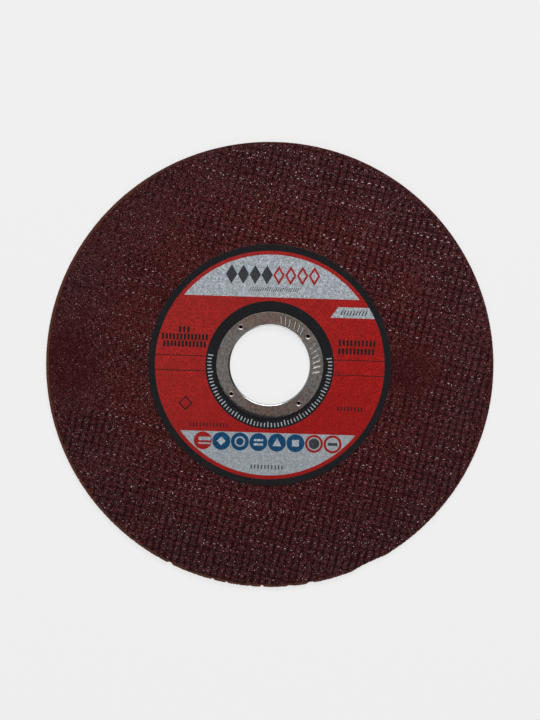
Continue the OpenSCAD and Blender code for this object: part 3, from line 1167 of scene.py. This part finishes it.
def steel_material(s):
    """Dull tin plate, browner above and below with a painted sheen to the sides, polished at the mouth
    with a painted reflection there, and with painted shade on one side and along its edge.
    """
    shader = Shader("ring_steel")
    fine = shader.noise(2.8, 4, 0.75)
    cloud = shader.noise(0.45, 3, 0.6)
    mottle = shader.noise(1.4, 3, 0.7)
    # Painted sheen: the steel lighter and greyer to the left and right, browner above and below.
    brownish = (s.steel[0] * 1.1, s.steel[1] * 0.78, s.steel[2] * 0.7)
    sides = shader.math("MAXIMUM", shader.facing(0.0, 0.3, 1.0), shader.facing(math.pi, 0.3, 1.0))
    sides = shader.math("ADD", sides, shader.ramp(cloud, 0.42, 0.58, -0.2, 0.2))
    shader.tone = shader.mix(shader.ramp(sides, 0.0, 1.0), brownish, scaled(s.steel, 1.12))
    shader.coat(shader.ramp(mottle, 0.36, 0.64, 0.0, 0.7), s.steel, 0.25)
    # Painted shade: the flange darker on one side.
    shader.coat(shader.facing(s.shaded_side_turn, 0.2, 1.0), shader.mix(0.2, shader.tone, (0, 0, 0)))
    radius = shader.radius()
    flange_r = FLANGE_R / MM
    mouth = (BORE_R + s.lip) / MM
    bend = (FLANGE_TOP - s.lip) / MM
    # The mouth is polished, with less roughness and bump, and its paler colour is a painted
    # reflection.
    polish = shader.ramp(radius, mouth + 0.15, mouth - 0.1)
    shader.coat(polish, s.polished_reflection)
    # Painted shade on the bore's wall below the bend.
    bore_shade = shader.ramp(shader.height(2), bend, bend - 0.1)
    shader.coat(shader.product(polish, bore_shade), s.steel, 0.4)
    # Painted dark reflection on one side of the mouth.
    shader.coat(shader.product(polish, shader.facing(s.dark_reflection_turn, 0.8, 0.95)), s.dark_reflection)
    # Painted shade on the flange's rounded edge.
    rounded = shader.ramp(radius, (FLANGE_R - s.edge) / MM - 0.03, flange_r - 0.04)
    shader.coat(rounded, s.steel, 0.25)
    # Painted shade on the burr beside the upper strokes.
    shader.coat(shader.product(shader.painted("flank"), 0.85), s.steel, 0.2)
    # Painted highlight on the strokes and the lower side of the prong mouths, partly bare steel; it
    # also lowers the metallic.
    fresh = shader.ramp(shader.painted("fresh"), 0.25, 0.85)
    shader.coat(shader.product(fresh, 0.9), s.cut)
    # Painted shade along the flange's edge on one side, where the steel is also less metallic.
    wide = shader.ramp(shader.facing(s.edge_shade_turn, 0.3, 1.0), 0, 1, 0, s.edge_shade_width / MM)
    ragged = shader.math("ADD", radius, shader.ramp(fine, 0.3, 0.7, -0.5, 0.5))
    edge_shade = shader.ramp(shader.math("ADD", ragged, wide), flange_r + 0.1, flange_r + 0.8)
    shader.coat(edge_shade, s.edge_shade)
    metal = shader.product(shader.ramp(edge_shade, 0, 1, 0.9, 0.1), shader.ramp(fresh, 0, 1, 1, 0.4))
    shader.shade(Base_Color=shader.tone, Metallic=metal)
    dull = shader.product(polish, -0.25)
    shader.shade(Roughness=shader.math("ADD", shader.ramp(fine, 0.3, 0.7, 0.34, 0.5), dull))
    relief = shader.product(fine, shader.ramp(polish, 0, 1, 1, 0.1))
    shader.shade(Normal=shader.bump(relief, 0.025 * MM, 0.7), Specular_IOR_Level=0.2)
    return shader.material


# Stage

def floor_material(s):
    """Pale floor that shows its own colour to the camera and keeps a soft shadow."""
    shader = Shader("stage_floor")
    path = shader.node("ShaderNodeLightPath").outputs
    seen = shader.math("MAXIMUM", path["Is Camera Ray"], path["Is Glossy Ray"])
    seen = shader.math("MAXIMUM", seen, path["Is Transmission Ray"])
    glow = shader.node("ShaderNodeEmission", {"Color": tuple(s.floor)})
    shader.shade(Base_Color=s.floor, Roughness=0.9)
    mixed = shader.node("ShaderNodeMixShader", {0: shader.product(seen, FLOOR_GLOW),
                        1: shader.main.outputs[0], 2: glow.outputs[0]})
    shader.tree.links.new(mixed.outputs[0], shader.out.inputs["Surface"])
    return shader.material


def add_floor(s):
    """A wide, flat floor."""
    mesh = bpy.data.meshes.new("floor")
    corners = [(x * FLOOR_HALF, y * FLOOR_HALF, 0) for x, y in ((-1, -1), (1, -1), (1, 1), (-1, 1))]
    mesh.from_pydata(corners, [], [(0, 1, 2, 3)])
    mesh.materials.append(floor_material(s))
    floor = new_object("floor", mesh)


def add_lamp(name, place, power):
    """A soft lamp that points at the wheel."""
    data = bpy.data.lights.new(name, "AREA")
    data.shape = "RECTANGLE"
    data.size, data.size_y = LAMP_SIZE
    data.energy = power
    lamp = new_object(name, data)
    lamp.location = place
    lamp.rotation_euler = Vector(place).to_track_quat("Z", "Y").to_euler()


def add_world():
    """Dim, even light from all sides."""
    world = bpy.data.worlds.new("studio")
    world.use_nodes = True
    soft = world.node_tree.nodes["Background"]
    soft.inputs["Color"].default_value = (1, 1, 1, 1)
    soft.inputs["Strength"].default_value = WORLD_LIGHT
    bpy.context.scene.world = world


def add_camera(s):
    """A long lens over the wheel, leaning a little."""
    data = bpy.data.cameras.new("camera")
    data.lens = s.lens
    data.sensor_width = SENSOR
    data.clip_start = 0.01
    away = s.view_height * s.lens / SENSOR
    out = Vector((math.sin(s.lean) * math.cos(s.lean_towards),
                  math.sin(s.lean) * math.sin(s.lean_towards), math.cos(s.lean)))
    right = Vector((0, 1, 0)).cross(out).normalized()
    up = out.cross(right)
    camera = new_object("camera", data)
    turned = Matrix((right, up, out)).transposed().to_4x4()
    camera.matrix_world = Matrix.Translation(Vector(AIM) + out * away) @ turned
    bpy.context.scene.camera = camera


# Operators

class WHEEL_OT_disc(bpy.types.Operator):
    """Make the abrasive disc with its grain and worn rim"""

    bl_idname = "wheel.disc"
    bl_label = "Abrasive disc"

    def execute(self, context):
        add_disc(context.scene.wheel_disc, context.scene.wheel_ring)
        return {"FINISHED"}


class WHEEL_OT_weave(bpy.types.Operator):
    """Weave the glass threads into both faces"""

    bl_idname = "wheel.weave"
    bl_label = "Glass weave"

    def execute(self, context):
        settings = context.scene.wheel_disc
        for side, seed in FACE_SEEDS.items():
            up = side == "front"
            add_threads(settings, side + "_weft", True, up, seed)
            add_threads(settings, side + "_warp", False, up, seed)
        return {"FINISHED"}


class WHEEL_OT_label(bpy.types.Operator):
    """Print the label"""

    bl_idname = "wheel.label"
    bl_label = "Label"

    def execute(self, context):
        add_label(context.scene.wheel_label, context.scene.wheel_ring)
        return {"FINISHED"}


class WHEEL_OT_ring(bpy.types.Operator):
    """Stamp the arbor ring"""

    bl_idname = "wheel.ring"
    bl_label = "Arbor ring"

    def execute(self, context):
        add_ring(context.scene.wheel_ring)
        return {"FINISHED"}


class WHEEL_OT_stage(bpy.types.Operator):
    """Set up the floor, the light and the camera"""

    bl_idname = "wheel.stage"
    bl_label = "Stage"

    def execute(self, context):
        settings = context.scene.wheel_stage
        add_floor(settings)
        add_world()
        for name, place, power in LAMPS:
            add_lamp(name, place, power)
        add_camera(settings)
        context.scene.view_settings.view_transform = "Standard"
        return {"FINISHED"}


STEPS = (WHEEL_OT_disc, WHEEL_OT_weave, WHEEL_OT_label, WHEEL_OT_ring, WHEEL_OT_stage)


class WHEEL_PT_steps(bpy.types.Panel):
    """Lists the steps that dress the wheel"""

    bl_idname = "WHEEL_PT_steps"
    bl_label = "Cut-off wheel"
    bl_space_type = "VIEW_3D"
    bl_region_type = "UI"
    bl_category = "Wheel"

    def draw(self, context):
        for step in STEPS:
            self.layout.operator(step.bl_idname)


SETTINGS = {
    "wheel_disc": DiscSettings,
    "wheel_label": LabelSettings,
    "wheel_ring": RingSettings,
    "wheel_stage": StageSettings,
}
CLASSES = (*SETTINGS.values(), *STEPS, WHEEL_PT_steps)


def register():
    for made in CLASSES:
        bpy.utils.register_class(made)
    for name, group in SETTINGS.items():
        setattr(bpy.types.Scene, name, PointerProperty(type=group))


def unregister():
    for name in SETTINGS:
        delattr(bpy.types.Scene, name)
    for made in reversed(CLASSES):
        bpy.utils.unregister_class(made)


def main():
    """Dresses the wheel."""
    register()
    bpy.ops.wheel.disc()
    bpy.ops.wheel.weave()
    bpy.ops.wheel.label()
    bpy.ops.wheel.ring()
    bpy.ops.wheel.stage()


if __name__ == "__main__":
    main()
